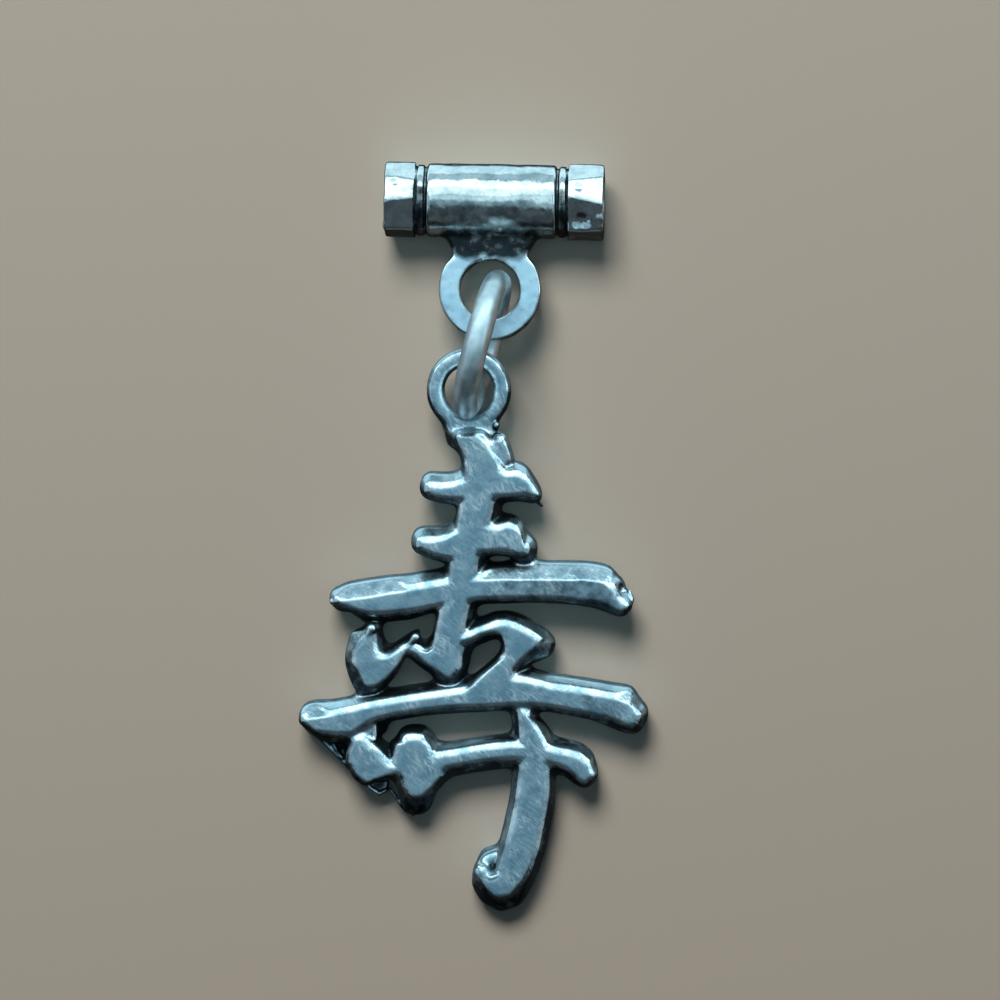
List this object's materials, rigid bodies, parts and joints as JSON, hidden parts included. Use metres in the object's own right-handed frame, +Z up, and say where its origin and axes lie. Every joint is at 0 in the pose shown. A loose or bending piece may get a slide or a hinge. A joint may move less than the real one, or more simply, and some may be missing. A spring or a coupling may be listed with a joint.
{
  "type": "longevity charm",
  "caption": "Cast silver charm in the shape of the longevity character, hung by a jump ring from a slide tube with a grooved collar at each end.",
  "frame": {"origin": "on the table, under the middle of the whole as it lies", "axes": "+Z up from the table, +X along the bore of the slide tube, +Y from the charm to the slide tube"},
  "size_m": [0.0176, 0.0374, 0.0075],
  "materials": {
    "bail_silver": "polished silver, darkened in the grooves",
    "ring_silver": "polished silver wire",
    "charm_silver": "oxidised silver, finely scratched on the faces and bright on the bevels"
  },
  "bodies": {
    "root": {"bail": "bail_silver", "jump_ring": "ring_silver", "charm": "charm_silver"}
  },
  "joints": []
}
